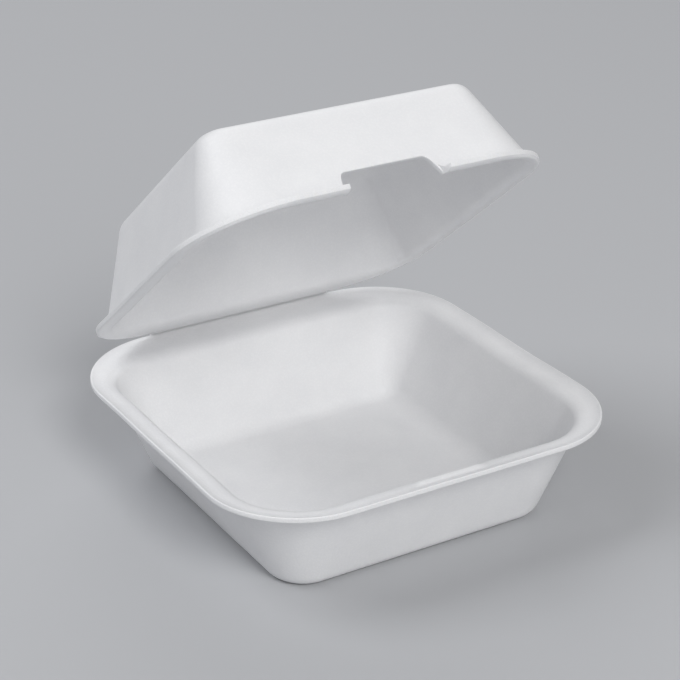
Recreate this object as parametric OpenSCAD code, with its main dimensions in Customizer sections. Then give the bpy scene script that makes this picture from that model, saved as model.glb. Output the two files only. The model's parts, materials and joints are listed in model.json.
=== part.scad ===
// Foam clamshell container, hinged lid, one section.
// Both halves are formed from one foam sheet and share a living hinge.
// Origin at the middle of the foot face, +Z up, the latch towards -Y.

/* [Foam sheet] */
// Thickness of the formed sheet
foam_t = 1.8; // [1.2:0.1:3]
// Radius of the cut edge all round the sheet
edge_r = 0.5; // [0.2:0.1:0.6]

/* [Tray] */
// Width of the tray over its lip, side to side
tray_w = 146; // [136:1:170]
// Depth of the tray, from the front of its lip to the hinge line
tray_d = 146; // [140:1:170]
// Height of the tray, from its foot to the inner edge of its lip
tray_h = 36.2; // [30:0.2:50]
// Width of the lip at the front and the sides
lip_w = 6.5; // [5:0.5:9]
// How far the lip turns up to its outer edge
lip_rise = 1.3; // [0.6:0.1:2]
// Width of the ledge along the hinge
ledge_w = 13; // [10:0.5:16]
// Width of the flat foot
foot_w = 102; // [88:1:110]
// Depth of the flat foot
foot_d = 102; // [88:1:108]
// Distance from the front of the lip back to the front of the foot
foot_setback = 19.9; // [16:0.1:26]
// Corner radius of the lip at the front
front_r = 32.5; // [24:0.5:40]
// Corner radius of the lip at the rear
rear_r = 34; // [26:0.5:40]
// Corner radius of the tray's mouth at the rear
mouth_rear_r = 19; // [12:0.5:24]
// Corner radius of the foot at the front
foot_front_r = 12.4; // [8:0.1:18]
// Corner radius of the foot at the rear
foot_rear_r = 8; // [5:0.5:14]

/* [Lid] */
// Height of the lid, from its rim to its top
lid_h = 34.8; // [26:0.1:36]
// Distance from each side of the tray's lip in to the side of the lid's lip
lid_side_in = 5.5; // [3:0.25:6]
// Distance from the front of the tray's lip back to the front of the lid's lip
lid_setback = 4.5; // [3:0.25:6]
// Width of the lid's lip at the front and the sides
lid_lip_w = 4.5; // [3:0.5:6]
// How far the outer edge of the lid's lip rolls towards its top
lid_lip_roll = 0.6; // [0:0.2:1.2]
// Distance from the tray's rear wall back to the lid's rear wall
rear_step = 2.2; // [1:0.2:4]
// Width of the flat top
top_w = 100; // [88:0.5:110]
// Depth of the flat top
top_d = 89.5; // [80:0.5:100]
// Distance from the front of the lid's lip back to the front of the flat top
top_setback = 20; // [14:0.5:26]
// Corner radius of the lid's lip at the front
lid_front_r = 34; // [26:0.5:40]
// Corner radius of the lid's lip at the rear
lid_rear_r = 33; // [24:0.5:40]
// Corner radius of the lid's mouth at the rear
lid_mouth_rear_r = 19; // [12:0.5:24]
// Corner radius of the flat top
top_r = 8.5; // [6:0.5:14]

/* [Bends] */
// Length of the bend between foot and wall on the outside, along each
foot_bend = 4; // [2:0.5:7]
// Length of the bend between floor and wall on the inside, along each
floor_bend = 7.5; // [4:0.5:12]
// Length of the bend between wall and lip, along each
lip_bend = 2.5; // [1.5:0.25:3]

/* [Hinge] */
// How far the crease runs on past the start of each rear corner
crease_run = 3; // [0:0.5:3.5]
// Diameter of the pressed crease bead, on the hinge line
bead_d = 1.0; // [0.6:0.1:1.2]
// Room between the crease bead and the lid's rear edge
crease_gap = 0.3; // [0.2:0.05:0.6]
// Room between the closed lid and the tray's lip
rim_gap = 0.4; // [0.4:0.05:0.8]
// How far the lid stands open
open_angle = 39.2; // [0:0.1:180]

/* [Latch] */
// Width of the latch notch at the lid's rim
notch_w = 36; // [24:1:44]
// Height of the latch notch, from the lid's rim up its front wall
notch_h = 8.5; // [6:0.5:12]
// How far each end of the notch leans in
notch_lean = 2; // [0:0.5:4]
// Corner radius of the notch at its top
notch_r = 2.5; // [1:0.25:3]
// Height of the catch on the tray's front lip
catch_h = 1.4; // [1:0.1:3]
// Thickness of the catch, front to back
catch_t = 2.5; // [2:0.25:3]
// Room between the catch and each end of the notch
catch_room = 3; // [1.5:0.25:5]

/* [Hidden] */
foam = "whitesmoke";

// Facets of each rounded corner, of each bend and of each cut edge
corner_n = 12;
bend_n = 5;
edge_n = 2;
lip_n = 3;
round_n = 48;
cut_margin = 1;
least_r = 0.5;

// The hinge line runs along X
hinge_y = tray_d / 2;
hinge_z = tray_h + lip_rise + rim_gap / 2;
rim_z = tray_h + rim_gap;
closed_h = rim_z + lid_h;

// An outline is [half width, front y, rear y, front radius, rear radius]
tray_rim = [tray_w / 2, -tray_d / 2, hinge_y, front_r, rear_r];
tray_mouth = [
    tray_w / 2 - lip_w, -tray_d / 2 + lip_w, hinge_y - ledge_w, front_r - lip_w, mouth_rear_r
];
foot_front = -tray_d / 2 + foot_setback;
tray_foot = [foot_w / 2, foot_front, foot_front + foot_d, foot_front_r, foot_rear_r];

lid_half_w = tray_w / 2 - lid_side_in;
lid_front = -tray_d / 2 + lid_setback;
lid_rear = hinge_y - bead_d / 2 - crease_gap;
lid_rim = [lid_half_w, lid_front, lid_rear, lid_front_r, lid_rear_r];
lid_mouth = [
    lid_half_w - lid_lip_w, lid_front + lid_lip_w, hinge_y - ledge_w + rear_step,
    lid_front_r - lid_lip_w, lid_mouth_rear_r
];
top_front = lid_front + top_setback;
lid_top = [top_w / 2, top_front, top_front + top_d, top_r, top_r];

// The crease runs along the shorter straight of the two rear edges
crease_l = 2 * (min(tray_w / 2 - rear_r, lid_half_w - lid_rear_r) + crease_run);

// The catch stands on the front lip, midway between the tray's mouth and the lid's edge
catch_y = (tray_mouth[1] + lid_front) / 2;
catch_w = notch_w - 2 * catch_room;

function mix(a, b, t) = a + (b - a) * t;
function smooth(t) = t * t * (3 - 2 * t);

// An outline moved in by d all round, with no corner tighter than least_r
function inset(o, d) = [
    o[0] - d, o[1] + d, o[2] - d, max(o[3] - d, least_r), max(o[4] - d, least_r)
];

// A level is an outline with its height at the sides and at the hinge
function level(o, z, z_rear) = concat(o, [z, z_rear]);
function flat_level(o, z) = level(o, z, z);

// A rounded bend from level a to level c, tangent to the lines through level b
function bend(a, b, c, n) = [
    for (i = [0 : n])
        let (t = i / n)
        mix(mix(a, b, t), mix(b, c, t), t)
];

// One rounded corner of a level, from angle a, as points of the ring
function corner(cx, cy, r, a, z_from, z_to) = [
    for (i = [0 : corner_n])
        let (t = i / corner_n)
        [cx + r * cos(a + 90 * t), cy + r * sin(a + 90 * t), mix(z_from, z_to, smooth(t))]
];

// The closed ring of points of a level, counter-clockwise from the right side
function ring(v) = concat(
    corner(v[0] - v[4], v[2] - v[4], v[4], 0, v[5], v[6]),
    corner(v[4] - v[0], v[2] - v[4], v[4], 90, v[6], v[5]),
    corner(v[3] - v[0], v[1] + v[3], v[3], 180, v[5], v[5]),
    corner(v[0] - v[3], v[1] + v[3], v[3], 270, v[5], v[5])
);

// The outer wall of a half at height z
function wall(foot, mouth, h, z) = flat_level(mix(foot, mouth, z / h), z);

// The inner wall at height z: one sheet thickness in, square to the side walls
function inner_wall(foot, mouth, h, z) =
    let (thick = foam_t / cos(atan((mouth[0] - foot[0]) / h)))
    flat_level(inset(mix(foot, mouth, z / h), thick), z);

// The lip's face at share u of the way from mouth to rim, z being its height at the mouth
function lip(mouth, rim, rise, z, u) =
    level(mix(mouth, rim, u), z + rise[0] * u * u * u, z + rise[1] * u * u * u);

// The cut edge: from the lip's lower face round to its upper face
function cut_edge(rim, rise, h) =
    let (
        side = h + rise[0],
        rear = h + rise[1],
        under = level(inset(rim, edge_r), side - foam_t, rear - foam_t),
        low = level(rim, side - foam_t, rear - foam_t),
        low_side = level(rim, side - foam_t + edge_r, rear - foam_t + edge_r),
        high_side = level(rim, side - edge_r, rear - edge_r),
        high = level(rim, side, rear),
        over = level(inset(rim, edge_r), side, rear)
    )
    concat(bend(under, low, low_side, edge_n), bend(high_side, high, over, edge_n));

// All levels of one half, from its foot up the outside and down the inside.
// The rise is that of the lip's outer edge, at the sides and at the hinge
function half_levels(foot, mouth, rim, h, rise) =
    let (
        under = h - foam_t,
        start = lip_bend / (rim[0] - mouth[0])
    )
    concat(
        bend(
            flat_level(inset(foot, foot_bend), 0), flat_level(foot, 0),
            wall(foot, mouth, h, foot_bend), bend_n
        ),
        bend(
            wall(foot, mouth, h, under - lip_bend), wall(foot, mouth, h, under),
            lip(mouth, rim, rise, under, start), bend_n
        ),
        [for (i = [1 : lip_n - 1]) lip(mouth, rim, rise, under, mix(start, 1, i / lip_n))],
        cut_edge(rim, rise, h),
        [for (i = [lip_n - 1 : -1 : 1]) lip(mouth, rim, rise, h, mix(start, 1, i / lip_n))],
        bend(
            lip(mouth, rim, rise, h, start), inner_wall(foot, mouth, h, h),
            inner_wall(foot, mouth, h, h - lip_bend), bend_n
        ),
        bend(
            inner_wall(foot, mouth, h, foam_t + floor_bend), inner_wall(foot, mouth, h, foam_t),
            flat_level(inset(foot, foam_t + floor_bend), foam_t), bend_n
        )
    );

// A closed skin through the levels, with a flat face at each end
module skin(levels) {
    rings = [for (v = levels) ring(v)];
    count = len(rings[0]);
    last = len(rings) - 1;
    sides = [
        for (i = [0 : last - 1], j = [0 : count - 1])
            let (k = (j + 1) % count)
            [i * count + j, (i + 1) * count + j, (i + 1) * count + k, i * count + k]
    ];
    first_face = [for (j = [0 : count - 1]) j];
    last_face = [for (j = [count - 1 : -1 : 0]) last * count + j];
    polyhedron(
        points = [for (r = rings, p = r) p],
        faces = concat([first_face], sides, [last_face])
    );
}

// The pressed bead of the crease, on the hinge line
module crease_bead() {
    translate([0, hinge_y, hinge_z])
        rotate([0, 90, 0])
            cylinder(d = bead_d, h = crease_l, center = true, $fn = round_n);
}

// The low rounded catch on the front lip, sunk into the foam it is formed from
module latch_catch() {
    reach = catch_w / 2 - catch_t / 2;
    translate([0, catch_y, tray_h - foam_t / 2])
        hull()
            for (side = [-1, 1])
                translate([side * reach, 0, 0])
                    cylinder(d1 = catch_t, d2 = catch_t / 2, h = catch_h + foam_t / 2, $fn = round_n / 2);
}

// The latch notch's outline, seen from the front, with its lower edge below the rim
module notch_outline() {
    reach = notch_w / 2 - notch_lean - notch_r;
    hull() {
        translate([-notch_w / 2, -cut_margin])
            square([notch_w, cut_margin]);
        for (side = [-1, 1])
            translate([side * reach, notch_h - notch_r])
                circle(r = notch_r, $fn = round_n / 2);
    }
}

// The space that the notch takes out of the lid's front lip and wall
module latch_notch() {
    translate([0, top_front, rim_z])
        rotate([90, 0, 0])
            linear_extrude(top_setback + cut_margin)
                notch_outline();
}

// Turns its child about the hinge line, lifting the front by angle a
module hinge_turn(a) {
    translate([0, hinge_y, hinge_z])
        rotate([-a, 0, 0])
            translate([0, -hinge_y, -hinge_z])
                children();
}

// The lower half: foot, walls, rolled lip, hinge ledge, crease bead and catch
module base_tray() {
    color(foam)
        union() {
            skin(half_levels(tray_foot, tray_mouth, tray_rim, tray_h, [lip_rise, lip_rise]));
            crease_bead();
            latch_catch();
        }
}

// The upper half, formed like the tray and turned over, with the latch notch cut out
module lid() {
    color(foam)
        hinge_turn(open_angle)
            difference() {
                translate([0, 0, closed_h])
                    mirror([0, 0, 1])
                        skin(half_levels(lid_top, lid_mouth, lid_rim, lid_h, [-lid_lip_roll, -lip_rise]));
                latch_notch();
            }
}

base_tray();
lid();
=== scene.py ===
"""Foam clamshell container: the two formed foam halves and the living hinge between them.

Every size is in metres, in the frame of the solids.
"""

import json
import math

import bpy
import numpy as np
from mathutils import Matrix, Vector


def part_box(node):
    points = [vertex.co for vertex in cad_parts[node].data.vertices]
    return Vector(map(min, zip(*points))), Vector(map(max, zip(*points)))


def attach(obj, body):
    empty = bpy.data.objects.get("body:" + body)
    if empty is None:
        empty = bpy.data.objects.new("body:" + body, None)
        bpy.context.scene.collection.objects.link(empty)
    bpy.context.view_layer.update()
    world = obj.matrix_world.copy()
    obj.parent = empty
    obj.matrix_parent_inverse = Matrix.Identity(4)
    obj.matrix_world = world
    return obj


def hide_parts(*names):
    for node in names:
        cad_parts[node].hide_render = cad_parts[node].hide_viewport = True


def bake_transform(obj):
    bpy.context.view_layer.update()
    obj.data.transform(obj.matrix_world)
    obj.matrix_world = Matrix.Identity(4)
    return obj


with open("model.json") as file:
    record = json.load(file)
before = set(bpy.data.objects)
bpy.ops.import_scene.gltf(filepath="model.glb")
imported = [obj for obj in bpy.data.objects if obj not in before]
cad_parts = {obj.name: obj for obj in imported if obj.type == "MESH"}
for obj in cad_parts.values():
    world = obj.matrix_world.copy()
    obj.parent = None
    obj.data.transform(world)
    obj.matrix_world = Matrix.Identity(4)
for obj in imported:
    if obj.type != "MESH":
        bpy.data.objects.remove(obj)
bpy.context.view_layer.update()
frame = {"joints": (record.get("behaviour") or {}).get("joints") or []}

MM = 0.001

# Places taken from the solids and the joint
tray_low, tray_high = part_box("base_tray")
hinge = frame["joints"][0]
HINGE_Y = hinge["pos_m"][1]
HINGE_Z = hinge["pos_m"][2]
OPEN_ANGLE = math.radians(-hinge["range_deg"][0])
FLAT_ANGLE = math.pi

# The foam sheet
FOAM_T = 1.8 * MM
EDGE_R = 0.42 * MM
SKIN_ROOM = 0.15 * MM
LEAST_R = 0.5 * MM

# The tray
HALF_W = tray_high.x - SKIN_ROOM
FRONT_Y = tray_low.y + SKIN_ROOM
TRAY_H = 36.2 * MM
LIP_W = 6.5 * MM
LIP_RISE = 1.3 * MM
LEDGE_W = 13.0 * MM
FOOT_HALF_W = 51.0 * MM
FOOT_D = 102.0 * MM
FOOT_SETBACK = 19.9 * MM
FRONT_R = 32.5 * MM
REAR_R = 34.0 * MM
MOUTH_REAR_R = 19.0 * MM
FOOT_FRONT_R = 12.4 * MM
FOOT_REAR_R = 7.0 * MM

# The lid
RIM_GAP = 0.4 * MM
LID_H = 34.8 * MM
LID_SIDE_IN = 5.5 * MM
LID_SETBACK = 4.5 * MM
LID_LIP_W = 4.5 * MM
LID_LIP_ROLL = 0.6 * MM
LID_REAR_IN = 0.8 * MM
REAR_STEP = 2.2 * MM
TOP_HALF_W = 50.0 * MM
TOP_D = 89.5 * MM
TOP_SETBACK = 20.0 * MM
LID_FRONT_R = 34.0 * MM
LID_REAR_R = 33.0 * MM
LID_MOUTH_FRONT_R = 23.0 * MM
LID_MOUTH_REAR_R = 16.0 * MM
TOP_R = 7.5 * MM
CLOSED_H = TRAY_H + RIM_GAP + LID_H

# The bends
FOOT_BEND = 4.0 * MM
FLOOR_BEND = 4.5 * MM
LIP_BEND = 2.5 * MM

# The crease, where both lips are pressed thin
PRESS = 0.9 * MM
PRESS_FROM = 0.8
CREASE_IN_R = 0.18 * MM
CREASE_OUT_R = 0.47 * MM
CREASE_HALF_L = 37.0 * MM
CREASE_REACH = 1.5 * MM
TRAY_SLOPE = math.radians(17.0)
LID_SLOPE = math.radians(21.0)

# The latch
NOTCH_HALF_W = 18.0 * MM
NOTCH_H = 8.5 * MM
NOTCH_END = 4.5 * MM
LIP_END_R = 0.5 * MM
CATCH_HALF_W = 15.0 * MM
CATCH_END = 5.0 * MM
CATCH_H = 0.9 * MM
CATCH_HALF_T = 2.3 * MM
CATCH_Y = -67.5 * MM

# The slow unevenness of formed foam
WAVER = 0.2 * MM
WAVER_N = 5
WAVE_SHORTEST_MM = 35.0
WAVE_LONGEST_MM = 80.0
FOOT_FADE = 6.0 * MM
HINGE_STILL = 2.0 * MM
HINGE_FADE = 12.0 * MM
TRAY_SEED = 11
LID_SEED = 23

# How finely the skins are divided
CORNER_N = 30
SIDE_N = 26
BEND_N = 9
WALL_N = 16
LIP_N = 12
EDGE_N = 4
FACE_N = 3
CAP_N = 14
FRONT_HALF = 24.0 * MM
FINE_FROM = 12.5 * MM
FINE_TO = 20.5 * MM
FINE_N = 40
SHARP_ANGLE = math.radians(48.0)
MIDDLE_N = 24
OUTER_N = 4


def mix(a, b, t):
    return a + (b - a) * t


def smooth(t):
    t = np.clip(t, 0.0, 1.0)
    return t * t * (3.0 - 2.0 * t)


def outline(half_w, front, rear, front_r, rear_r):
    return np.array([half_w, front, rear, front_r, rear_r])


def inset(shape, d):
    moved = shape + d * np.array([-1.0, 1.0, -1.0, -1.0, -1.0])
    moved[3:] = np.maximum(moved[3:], LEAST_R)
    return moved


def level(shape, z, z_rear=None):
    """An outline with its height at the sides and at the hinge."""
    return np.concatenate([shape, [z, z if z_rear is None else z_rear]])


def line(a, b, n):
    """The n levels after a on the way to b."""
    t = np.arange(1, n + 1)[:, None] / n
    return mix(a, b, t)


def bend(a, b, c, n):
    """The n levels after a of a rounded bend to c, tangent to the lines through b."""
    t = np.arange(1, n + 1)[:, None] / n
    return mix(mix(a, b, t), mix(b, c, t), t)


class Half:
    """One formed half as levels, from the middle of its foot up the outside and down the inside."""

    def __init__(self, foot, mouth, rim, height, rise, notched):
        self.foot = foot
        self.mouth = mouth
        self.rim = rim
        self.height = height
        self.rise = rise
        self.notched = notched
        self.thick = FOAM_T / math.cos(math.atan((mouth[0] - foot[0]) / height))
        self.lip_out = inset(rim, EDGE_R)
        self.lip_start = LIP_BEND / (rim[0] - mouth[0])

    def wall(self, z):
        return level(mix(self.foot, self.mouth, z / self.height), z)

    def inner(self, z):
        return level(inset(mix(self.foot, self.mouth, z / self.height), self.thick), z)

    def lip(self, z, u, press=0.0):
        turn = u ** 3
        pressed = press * smooth((u - PRESS_FROM) / (1.0 - PRESS_FROM))
        return level(
            mix(self.mouth, self.lip_out, u), z + self.rise[0] * turn, z + self.rise[1] * turn + pressed
        )

    def foot_levels(self):
        start = level(inset(self.foot, FOOT_BEND), 0.0)
        return np.vstack([start, bend(start, level(self.foot, 0.0), self.wall(FOOT_BEND), BEND_N)])

    def floor_levels(self):
        top = self.inner(FOAM_T + FLOOR_BEND)
        floor = level(inset(self.foot, FOAM_T + FLOOR_BEND), FOAM_T)
        return bend(top, self.inner(FOAM_T), floor, BEND_N)

    def lipped(self):
        """The levels with the whole lip."""
        h = self.height
        under = h - FOAM_T
        side = h + self.rise[0]
        rear = h + self.rise[1]
        low_side = side - FOAM_T
        low_rear = rear - FOAM_T + PRESS
        wall_top = self.wall(under - LIP_BEND)
        lip_low = level(self.rim, low_side + EDGE_R, low_rear + EDGE_R)
        lip_high = level(self.rim, side - EDGE_R, rear - EDGE_R)
        over = level(self.lip_out, side, rear)
        shares = mix(self.lip_start, 1.0, np.arange(1, LIP_N + 1) / LIP_N)
        back_shares = mix(1.0, self.lip_start, np.arange(1, LIP_N + 1) / LIP_N)
        crest_end = self.inner(h - LIP_BEND)
        return np.vstack([
            self.foot_levels(),
            line(self.wall(FOOT_BEND), wall_top, WALL_N),
            bend(wall_top, self.wall(under), self.lip(under, self.lip_start, PRESS), BEND_N),
            [self.lip(under, u, PRESS) for u in shares],
            bend(self.lip(under, 1.0, PRESS), level(self.rim, low_side, low_rear), lip_low, EDGE_N),
            line(lip_low, lip_high, FACE_N),
            bend(lip_high, level(self.rim, side, rear), over, EDGE_N),
            [self.lip(h, u) for u in back_shares],
            bend(self.lip(h, self.lip_start), self.inner(h), crest_end, BEND_N),
            line(crest_end, self.inner(FOAM_T + FLOOR_BEND), WALL_N),
            self.floor_levels(),
        ])

    def cut(self, h):
        """The same number of levels where the lip and the wall above height h are cut away."""
        wall_top = self.wall(h - FOAM_T - LIP_BEND)
        edge_low = self.wall(h - EDGE_R)
        top = mix(self.foot, self.mouth, h / self.height)
        outer = level(inset(top, EDGE_R), h)
        inner = level(inset(top, self.thick - EDGE_R), h)
        inner_low = self.inner(h - EDGE_R)
        return np.vstack([
            self.foot_levels(),
            line(self.wall(FOOT_BEND), wall_top, WALL_N),
            line(wall_top, edge_low, BEND_N + LIP_N + EDGE_N + FACE_N),
            bend(edge_low, self.wall(h), outer, EDGE_N),
            line(outer, inner, LIP_N),
            bend(inner, self.inner(h), inner_low, BEND_N),
            line(inner_low, self.inner(FOAM_T + FLOOR_BEND), WALL_N),
            self.floor_levels(),
        ])


def cut_edge_shares():
    """How much each level is a cut edge: with the whole lip, and where the lip is cut away."""
    before = 1 + BEND_N + WALL_N + BEND_N
    after = WALL_N + BEND_N
    edge = 2 * EDGE_N + FACE_N
    lipped = np.concatenate([
        np.zeros(before + LIP_N), np.ones(edge), np.zeros(LIP_N + BEND_N + after)
    ])
    cut = np.concatenate([
        np.zeros(before + LIP_N + EDGE_N + FACE_N), np.ones(EDGE_N + LIP_N + BEND_N), np.zeros(after)
    ])
    return lipped, cut


def front_columns():
    """The places along the front where columns keep their own x, close together at the latch's ends."""
    outer = np.linspace(FRONT_HALF, FINE_TO, OUTER_N, endpoint=False)
    fine = np.linspace(FINE_TO, FINE_FROM, FINE_N, endpoint=False)
    middle = np.linspace(FINE_FROM, -FINE_FROM, MIDDLE_N)
    return -np.concatenate([outer, fine, middle, -fine[::-1], -outer[::-1]])


def notch_height(x):
    """How far the notch reaches up the front wall at x."""
    t = np.clip((NOTCH_HALF_W - abs(x)) / NOTCH_END, 0.0, 1.0)
    return NOTCH_H * (1.0 - (1.0 - t) ** 3)


def lip_share(x):
    """How much of the lid's front lip is left at x."""
    t = np.clip((abs(x) - NOTCH_HALF_W) / LIP_END_R, 0.0, 1.0)
    return math.sqrt(1.0 - (1.0 - t) ** 2)


def corner(cx, cy, radius, start, z_from, z_to):
    t = np.linspace(0.0, 1.0, CORNER_N + 1)
    angle = math.radians(start) + 0.5 * math.pi * t
    x = cx[:, None] + radius[:, None] * np.cos(angle)
    y = cy[:, None] + radius[:, None] * np.sin(angle)
    z = mix(z_from[:, None], z_to[:, None], smooth(t))
    return np.stack([x, y, z], axis=2)


def side(from_points, to_points, n):
    t = np.arange(1, n)[None, :, None] / n
    return mix(from_points[:, None, :], to_points[:, None, :], t)


def rings(levels, share):
    """The ring of points of every level, counter-clockwise from the right side."""
    half_w, front, rear, front_r, rear_r, z_side, z_rear = levels.T
    rear_right = corner(half_w - rear_r, rear - rear_r, rear_r, 0, z_side, z_rear)
    rear_left = corner(rear_r - half_w, rear - rear_r, rear_r, 90, z_rear, z_side)
    front_left = corner(front_r - half_w, front + front_r, front_r, 180, z_side, z_side)
    front_right = corner(half_w - front_r, front + front_r, front_r, 270, z_side, z_side)
    x = share[:, None] * front_columns()
    y = np.broadcast_to(front[:, None], x.shape)
    z = np.broadcast_to(z_side[:, None], x.shape)
    middle = np.stack([x, y, z], axis=2)
    parts = [
        rear_right, side(rear_right[:, -1], rear_left[:, 0], SIDE_N),
        rear_left, side(rear_left[:, -1], front_left[:, 0], SIDE_N),
        front_left, side(front_left[:, -1], middle[:, 0], OUTER_N),
        middle, side(middle[:, -1], front_right[:, 0], OUTER_N),
        front_right, side(front_right[:, -1], rear_right[:, 0], SIDE_N),
    ]
    first = sum(p.shape[1] for p in parts[:6])
    return np.concatenate(parts, axis=1), first


def skin(half):
    """All points of a half as rows of rings, with how much each is a cut edge."""
    profile = half.lipped()
    edge_lipped, edge_cut = cut_edge_shares()
    cap_t = np.arange(1, CAP_N)[:, None] / CAP_N
    middle_y = 0.5 * (half.foot[1] + half.foot[2])
    centre_low = level(outline(0.0, middle_y, middle_y, 0.0, 0.0), 0.0)
    centre_high = level(outline(0.0, middle_y, middle_y, 0.0, 0.0), FOAM_T)
    low_cap = mix(centre_low, profile[0], cap_t)
    high_cap = mix(profile[-1], centre_high, cap_t)
    levels = np.vstack([low_cap, profile, high_cap])
    share = np.concatenate([cap_t[:, 0], np.ones(len(profile)), 1.0 - cap_t[:, 0]])
    points, first = rings(levels, share)
    rows = slice(len(low_cap), len(low_cap) + len(profile))
    edge = np.zeros(points.shape[:2])
    edge[rows] = edge_lipped[:, None]
    if half.notched:
        for i, x in enumerate(front_columns()):
            left = lip_share(x)
            if left < 1.0:
                own = mix(half.cut(half.height - notch_height(x)), profile, left)
                points[rows, first + i, 1] = own[:, 1]
                points[rows, first + i, 2] = own[:, 5]
                edge[rows, first + i] = mix(edge_cut, edge_lipped, left)
    ends = np.array([[0.0, middle_y, 0.0], [0.0, middle_y, FOAM_T]])
    return points, edge, ends


def skin_faces(rows, columns):
    """Quads between the rings and a fan at each end, facing outwards."""
    faces = []
    for i in range(rows - 1):
        for j in range(columns):
            k = (j + 1) % columns
            faces.append((i * columns + j, i * columns + k, (i + 1) * columns + k, (i + 1) * columns + j))
    low = rows * columns
    high = low + 1
    last = (rows - 1) * columns
    for j in range(columns):
        k = (j + 1) % columns
        faces.append((low, k, j))
        faces.append((high, last + j, last + k))
    return faces


def waver(points, seed):
    """Low, slow unevenness of formed foam, which fades out at the foot and at the hinge."""
    draw = np.random.default_rng(seed)
    moved = points.copy()
    at_foot = smooth(points[:, 2] / FOOT_FADE)
    at_hinge = smooth((HINGE_Y - HINGE_STILL - points[:, 1]) / HINGE_FADE)
    fade = at_foot * at_hinge
    for axis in range(3):
        wave = np.zeros(len(points))
        for _ in range(WAVER_N):
            direction = draw.normal(size=3)
            direction /= np.linalg.norm(direction)
            length = draw.uniform(WAVE_SHORTEST_MM, WAVE_LONGEST_MM) * MM
            phase = draw.uniform(0.0, 2.0 * math.pi)
            wave += np.sin(points @ direction * 2.0 * math.pi / length + phase)
        moved[:, axis] += WAVER * fade * wave / WAVER_N
    return moved


def raise_catch(points):
    """Lifts the low rounded catch out of the upper face of the tray's front lip."""
    along = smooth((CATCH_HALF_W - np.abs(points[:, 0])) / CATCH_END)
    across = np.clip(np.abs(points[:, 1] - CATCH_Y) / CATCH_HALF_T, 0.0, 1.0)
    above = points[:, 2] > TRAY_H - 0.5 * FOAM_T
    points[:, 2] += CATCH_H * along * np.cos(0.5 * math.pi * across) ** 2 * above
    return points


def turn_about_hinge(points, angle):
    """Turns points about the hinge line, lifting the lid's front by the angle."""
    y = points[:, 1] - HINGE_Y
    z = points[:, 2] - HINGE_Z
    turned = points.copy()
    turned[:, 1] = HINGE_Y + y * math.cos(angle) + z * math.sin(angle)
    turned[:, 2] = HINGE_Z - y * math.sin(angle) + z * math.cos(angle)
    return turned


def make_piece(name, points, faces, edge, material):
    mesh = bpy.data.meshes.new(name)
    mesh.from_pydata(points.tolist(), [], faces)
    mesh.update()
    attribute = mesh.attributes.new("cut_edge", "FLOAT", "POINT")
    attribute.data.foreach_set("value", np.asarray(edge, np.float32))
    mesh.shade_smooth()
    mesh.set_sharp_from_angle(angle=SHARP_ANGLE)
    mesh.materials.append(material)
    piece = bpy.data.objects.new(name, mesh)
    bpy.context.scene.collection.objects.link(piece)
    return piece


# The foam's material
SKIN_DARK = (0.818, 0.821, 0.833, 1.0)
SKIN_LIGHT = (0.872, 0.873, 0.880, 1.0)
# Painted shade: the colour laid into the hollows of the open cells on the cut edges
PIT_SHADE = (0.78, 0.782, 0.79, 1.0)
SKIN_CELLS = 1150.0
CUT_CELLS = 2300.0
SLOW_SCALE = 70.0
UNEVEN_SCALE = 110.0
WORN_SCALE = 260.0
NOISE_DETAIL = 2.0
SUBSURFACE = 0.25
SUBSURFACE_DEPTH = 1.2 * MM
SPECULAR = 0.35
UNEVEN_DEPTH = 0.12 * MM
GRAIN_DEPTH = 0.05 * MM
OPEN_CELL_DEPTH = 0.08 * MM
BUMP_STRENGTH = 0.6

# The sockets of a colour mix
MIX_SHARE = 0
MIX_LOW = 6
MIX_HIGH = 7
MIX_RESULT = 2


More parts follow.
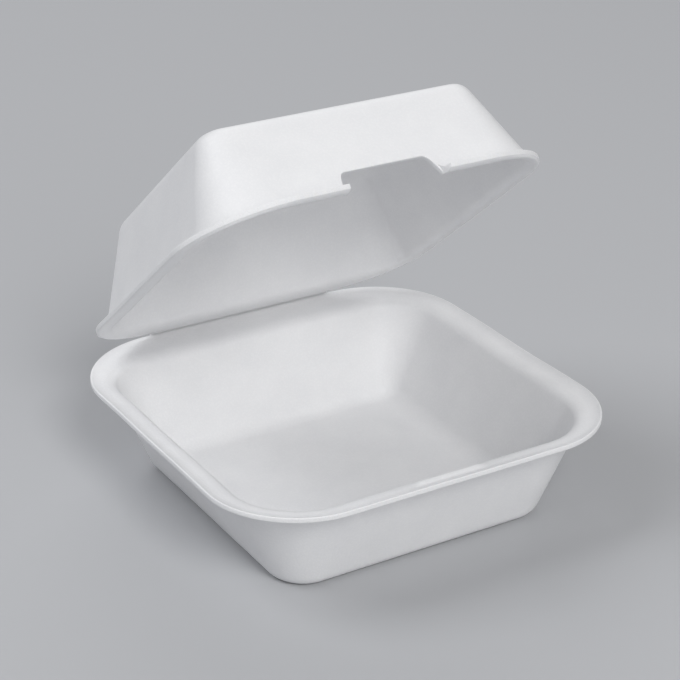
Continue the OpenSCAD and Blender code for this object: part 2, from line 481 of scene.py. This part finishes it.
def foam_material(name):
    """Satin foam skin with faint cells, and open cells on the cut edges with painted shade in their
    hollows.
    """
    material = bpy.data.materials.new(name)
    material.use_nodes = True
    nodes = material.node_tree.nodes
    links = material.node_tree.links
    shader = nodes["Principled BSDF"]
    shader.inputs["Subsurface Weight"].default_value = SUBSURFACE
    shader.inputs["Subsurface Radius"].default_value = (1.0, 1.0, 1.0)
    shader.inputs["Subsurface Scale"].default_value = SUBSURFACE_DEPTH
    shader.inputs["Specular IOR Level"].default_value = SPECULAR
    place = nodes.new("ShaderNodeTexCoord").outputs["Object"]
    cut_edge = nodes.new("ShaderNodeAttribute")
    cut_edge.attribute_name = "cut_edge"
    cut = cut_edge.outputs["Fac"]

    def noise(scale):
        node = nodes.new("ShaderNodeTexNoise")
        node.inputs["Scale"].default_value = scale
        node.inputs["Detail"].default_value = NOISE_DETAIL
        links.new(place, node.inputs["Vector"])
        return node.outputs["Fac"]

    def cells(scale):
        node = nodes.new("ShaderNodeTexVoronoi")
        node.inputs["Scale"].default_value = scale
        links.new(place, node.inputs["Vector"])
        return node.outputs["Distance"]

    def ramp(value, from_low, from_high, low, high):
        node = nodes.new("ShaderNodeMapRange")
        node.inputs["From Min"].default_value = from_low
        node.inputs["From Max"].default_value = from_high
        node.inputs["To Min"].default_value = low
        node.inputs["To Max"].default_value = high
        links.new(value, node.inputs["Value"])
        return node.outputs["Result"]

    def combine(operation, a, b):
        node = nodes.new("ShaderNodeMath")
        node.operation = operation
        links.new(a, node.inputs[0])
        links.new(b, node.inputs[1])
        return node.outputs["Value"]

    def colours(share, high):
        node = nodes.new("ShaderNodeMix")
        node.data_type = "RGBA"
        node.inputs[MIX_HIGH].default_value = high
        links.new(share, node.inputs[MIX_SHARE])
        return node

    def bump(height, distance, strength):
        node = nodes.new("ShaderNodeBump")
        node.inputs["Distance"].default_value = distance
        node.inputs["Strength"].default_value = strength
        links.new(height, node.inputs["Height"])
        return node

    skin_cells = cells(SKIN_CELLS)
    cut_cells = cells(CUT_CELLS)
    slow_share = ramp(noise(SLOW_SCALE), 0.3, 0.7, 0.0, 0.55)
    cell_share = ramp(skin_cells, 0.1, 0.6, 0.45, 0.0)
    foam_skin = colours(combine("ADD", slow_share, cell_share), SKIN_LIGHT)
    foam_skin.inputs[MIX_LOW].default_value = SKIN_DARK
    # Painted shade: darkens the hollows of the open cells on the cut edges
    pit_shade = combine("MULTIPLY", cut, ramp(cut_cells, 0.1, 0.45, 1.0, 0.0))
    surface = colours(pit_shade, PIT_SHADE)
    links.new(foam_skin.outputs[MIX_RESULT], surface.inputs[MIX_LOW])
    links.new(surface.outputs[MIX_RESULT], shader.inputs["Base Color"])
    skin_roughness = ramp(noise(WORN_SCALE), 0.3, 0.7, 0.44, 0.56)
    cut_roughness = ramp(cut, 0.0, 1.0, 0.0, 0.3)
    links.new(combine("ADD", skin_roughness, cut_roughness), shader.inputs["Roughness"])

    uneven = bump(noise(UNEVEN_SCALE), UNEVEN_DEPTH, BUMP_STRENGTH)
    grain = bump(skin_cells, GRAIN_DEPTH, BUMP_STRENGTH)
    open_cells = bump(cut_cells, OPEN_CELL_DEPTH, 0.0)
    links.new(ramp(cut, 0.0, 1.0, 0.0, 0.8), open_cells.inputs["Strength"])
    links.new(uneven.outputs["Normal"], grain.inputs["Normal"])
    links.new(grain.outputs["Normal"], open_cells.inputs["Normal"])
    links.new(open_cells.outputs["Normal"], shader.inputs["Normal"])
    return material


FLOOR_COLOUR = (0.50, 0.507, 0.522, 1.0)
FLOOR_ROUGHNESS = 0.9
FLOOR_SPECULAR = 0.1


def floor_material():
    material = bpy.data.materials.new("pale_floor")
    material.use_nodes = True
    shader = material.node_tree.nodes["Principled BSDF"]
    shader.inputs["Base Color"].default_value = FLOOR_COLOUR
    shader.inputs["Roughness"].default_value = FLOOR_ROUGHNESS
    shader.inputs["Specular IOR Level"].default_value = FLOOR_SPECULAR
    return material


# The two halves
tray_rim = outline(HALF_W, FRONT_Y, HINGE_Y, FRONT_R, REAR_R)
tray_mouth = outline(
    HALF_W - LIP_W, FRONT_Y + LIP_W, HINGE_Y - LEDGE_W, FRONT_R - LIP_W, MOUTH_REAR_R
)
foot_front = tray_low.y + FOOT_SETBACK
tray_foot = outline(FOOT_HALF_W, foot_front, foot_front + FOOT_D, FOOT_FRONT_R, FOOT_REAR_R)
tray = Half(tray_foot, tray_mouth, tray_rim, TRAY_H, (LIP_RISE, LIP_RISE), False)

lid_half_w = HALF_W - LID_SIDE_IN
lid_front = FRONT_Y + LID_SETBACK
lid_rim = outline(lid_half_w, lid_front, HINGE_Y - LID_REAR_IN, LID_FRONT_R, LID_REAR_R)
lid_mouth = outline(
    lid_half_w - LID_LIP_W, lid_front + LID_LIP_W, HINGE_Y - LEDGE_W + REAR_STEP,
    LID_MOUTH_FRONT_R, LID_MOUTH_REAR_R
)
top_front = lid_front + TOP_SETBACK
lid_top = outline(TOP_HALF_W, top_front, top_front + TOP_D, TOP_R, TOP_R)
lid = Half(lid_top, lid_mouth, lid_rim, LID_H, (-LID_LIP_ROLL, -LIP_RISE), True)

tray_foam = foam_material("tray_foam")
lid_foam = foam_material("lid_foam")

tray_rings, tray_edge, tray_ends = skin(tray)
tray_points = np.vstack([tray_rings.reshape(-1, 3), tray_ends])
tray_points = waver(raise_catch(tray_points), TRAY_SEED)
tray_faces = skin_faces(*tray_rings.shape[:2])
tray_shell = make_piece(
    "tray_foam_shell", tray_points, tray_faces, np.append(tray_edge.ravel(), [0.0, 0.0]), tray_foam
)
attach(tray_shell, "tray")
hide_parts("base_tray")

lid_rings, lid_edge, lid_ends = skin(lid)
lid_points = np.vstack([lid_rings.reshape(-1, 3), lid_ends])
lid_points = waver(lid_points, LID_SEED)
lid_points[:, 2] = CLOSED_H - lid_points[:, 2]
lid_points = turn_about_hinge(lid_points, OPEN_ANGLE)
lid_faces = [face[::-1] for face in skin_faces(*lid_rings.shape[:2])]
lid_shell = make_piece(
    "lid_foam_shell", lid_points, lid_faces, np.append(lid_edge.ravel(), [0.0, 0.0]), lid_foam
)
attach(lid_shell, "lid")
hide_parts("lid")


# The living hinge
CREASE_ARC_N = 14
CREASE_FLAT_N = 4
CREASE_LONG_N = 90
CREASE_END = 3.0 * MM
CREASE_LEAST = 0.02
CREASE_TURN = FLAT_ANGLE - OPEN_ANGLE + LID_SLOPE - TRAY_SLOPE


def crease_section():
    """The crease's closed section at rest, as offsets in y and z from the hinge line."""
    angles = TRAY_SLOPE - 0.5 * math.pi + np.linspace(0.0, CREASE_TURN, CREASE_ARC_N + 1)
    tray_way = -np.array([math.cos(TRAY_SLOPE), math.sin(TRAY_SLOPE)])
    lid_way = np.array([-math.cos(OPEN_ANGLE - LID_SLOPE), math.sin(OPEN_ANGLE - LID_SLOPE)])

    def run(radius):
        arc = radius * np.stack([np.cos(angles), np.sin(angles)], axis=1)
        steps = CREASE_REACH * np.arange(1, CREASE_FLAT_N + 1)[:, None] / CREASE_FLAT_N
        return np.vstack([(arc[0] + tray_way * steps)[::-1], arc, arc[-1] + lid_way * steps])

    return np.vstack([run(CREASE_OUT_R), run(CREASE_IN_R)[::-1]])


def crease_points(section):
    """The section carried along the hinge line, drawn in towards its middle radius at both ends."""
    x = np.linspace(-CREASE_HALF_L, CREASE_HALF_L, CREASE_LONG_N + 1)
    middle = 0.5 * (section + section[::-1])
    rows = []
    for place in x:
        full = math.sqrt(np.clip((CREASE_HALF_L - abs(place)) / CREASE_END, CREASE_LEAST, 1.0))
        shaped = mix(middle, section, full)
        x_column = np.full(len(section), place)
        rows.append(np.column_stack([x_column, HINGE_Y + shaped[:, 0], HINGE_Z + shaped[:, 1]]))
    return np.array(rows)


crease_rings = crease_points(crease_section())
crease_rows, crease_columns = crease_rings.shape[:2]
crease_faces = []
for i in range(crease_rows - 1):
    for j in range(crease_columns):
        k = (j + 1) % crease_columns
        a = i * crease_columns
        b = a + crease_columns
        crease_faces.append((a + j, a + k, b + k, b + j))
last_row = (crease_rows - 1) * crease_columns
half_columns = crease_columns // 2
for j in range(half_columns - 1):
    opposite = crease_columns - 1 - j
    crease_faces.append((opposite, opposite - 1, j + 1, j))
    crease_faces.append((last_row + j, last_row + j + 1, last_row + opposite - 1, last_row + opposite))
no_edge = np.zeros(crease_rows * crease_columns)
living_hinge = make_piece(
    "living_hinge", crease_rings.reshape(-1, 3), crease_faces, no_edge, tray_foam
)
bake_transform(living_hinge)


# The floor, the light and the camera
FLOOR_HALF = 3.0
floor_mesh = bpy.data.meshes.new("floor")
floor_mesh.from_pydata(
    [(-FLOOR_HALF, -FLOOR_HALF, 0.0), (FLOOR_HALF, -FLOOR_HALF, 0.0), (FLOOR_HALF, FLOOR_HALF, 0.0),
     (-FLOOR_HALF, FLOOR_HALF, 0.0)],
    [], [(0, 1, 2, 3)]
)
floor_mesh.materials.append(floor_material())
floor = bpy.data.objects.new("floor", floor_mesh)
bpy.context.scene.collection.objects.link(floor)

MIDDLE = Vector((0.0, 0.0, 60.0 * MM))
LAMP_DISTANCE = 3.0

# Each lamp's name, azimuth and elevation in degrees, size, power and colour
LAMPS = (
    ("key", -8.0, 41.0, 1.1, 34.0, (1.0, 0.995, 0.985)),
    ("front_fill", -4.0, 20.0, 1.9, 19.0, (1.0, 0.998, 0.995)),
    ("left_rim", -120.0, 50.0, 1.9, 36.0, (0.97, 0.98, 1.0)),
    ("back_fill", 150.0, 35.0, 1.9, 16.0, (0.99, 0.99, 1.0)),
)
WORLD_COLOUR = (0.97, 0.975, 1.0, 1.0)
WORLD_STRENGTH = 0.25


def towards(azimuth, elevation):
    a = math.radians(azimuth)
    e = math.radians(elevation)
    return Vector((math.sin(a) * math.cos(e), -math.cos(a) * math.cos(e), math.sin(e)))


def area_light(name, azimuth, elevation, size, power, colour):
    data = bpy.data.lights.new(name, "AREA")
    data.shape = "DISK"
    data.size = size
    data.energy = power
    data.color = colour
    lamp = bpy.data.objects.new(name, data)
    back = towards(azimuth, elevation)
    lamp.location = MIDDLE + back * LAMP_DISTANCE
    lamp.rotation_euler = (-back).to_track_quat("-Z", "Y").to_euler()
    bpy.context.scene.collection.objects.link(lamp)


for lamp_sizes in LAMPS:
    area_light(*lamp_sizes)

world = bpy.data.worlds.new("studio")
world.use_nodes = True
background = world.node_tree.nodes["Background"]
background.inputs["Color"].default_value = WORLD_COLOUR
background.inputs["Strength"].default_value = WORLD_STRENGTH
bpy.context.scene.world = world

CAMERA_AZIMUTH = -31.0
CAMERA_ELEVATION = 26.5
CAMERA_DISTANCE = 0.6866
CAMERA_TARGET = Vector((0.0, 0.0, 40.0 * MM))
CAMERA_AIM = Vector((2.0 * MM, 4.0 * MM, 54.0 * MM))
LENS = 106.0
SENSOR_W = 36.0
camera_data = bpy.data.cameras.new("camera")
camera_data.lens = LENS
camera_data.sensor_width = SENSOR_W
camera = bpy.data.objects.new("camera", camera_data)
camera.location = CAMERA_TARGET + towards(CAMERA_AZIMUTH, CAMERA_ELEVATION) * CAMERA_DISTANCE
camera.rotation_euler = (CAMERA_AIM - camera.location).to_track_quat("-Z", "Y").to_euler()
bpy.context.scene.collection.objects.link(camera)
bpy.context.scene.camera = camera
bpy.context.scene.view_settings.view_transform = "Standard"

bpy.context.view_layer.update()
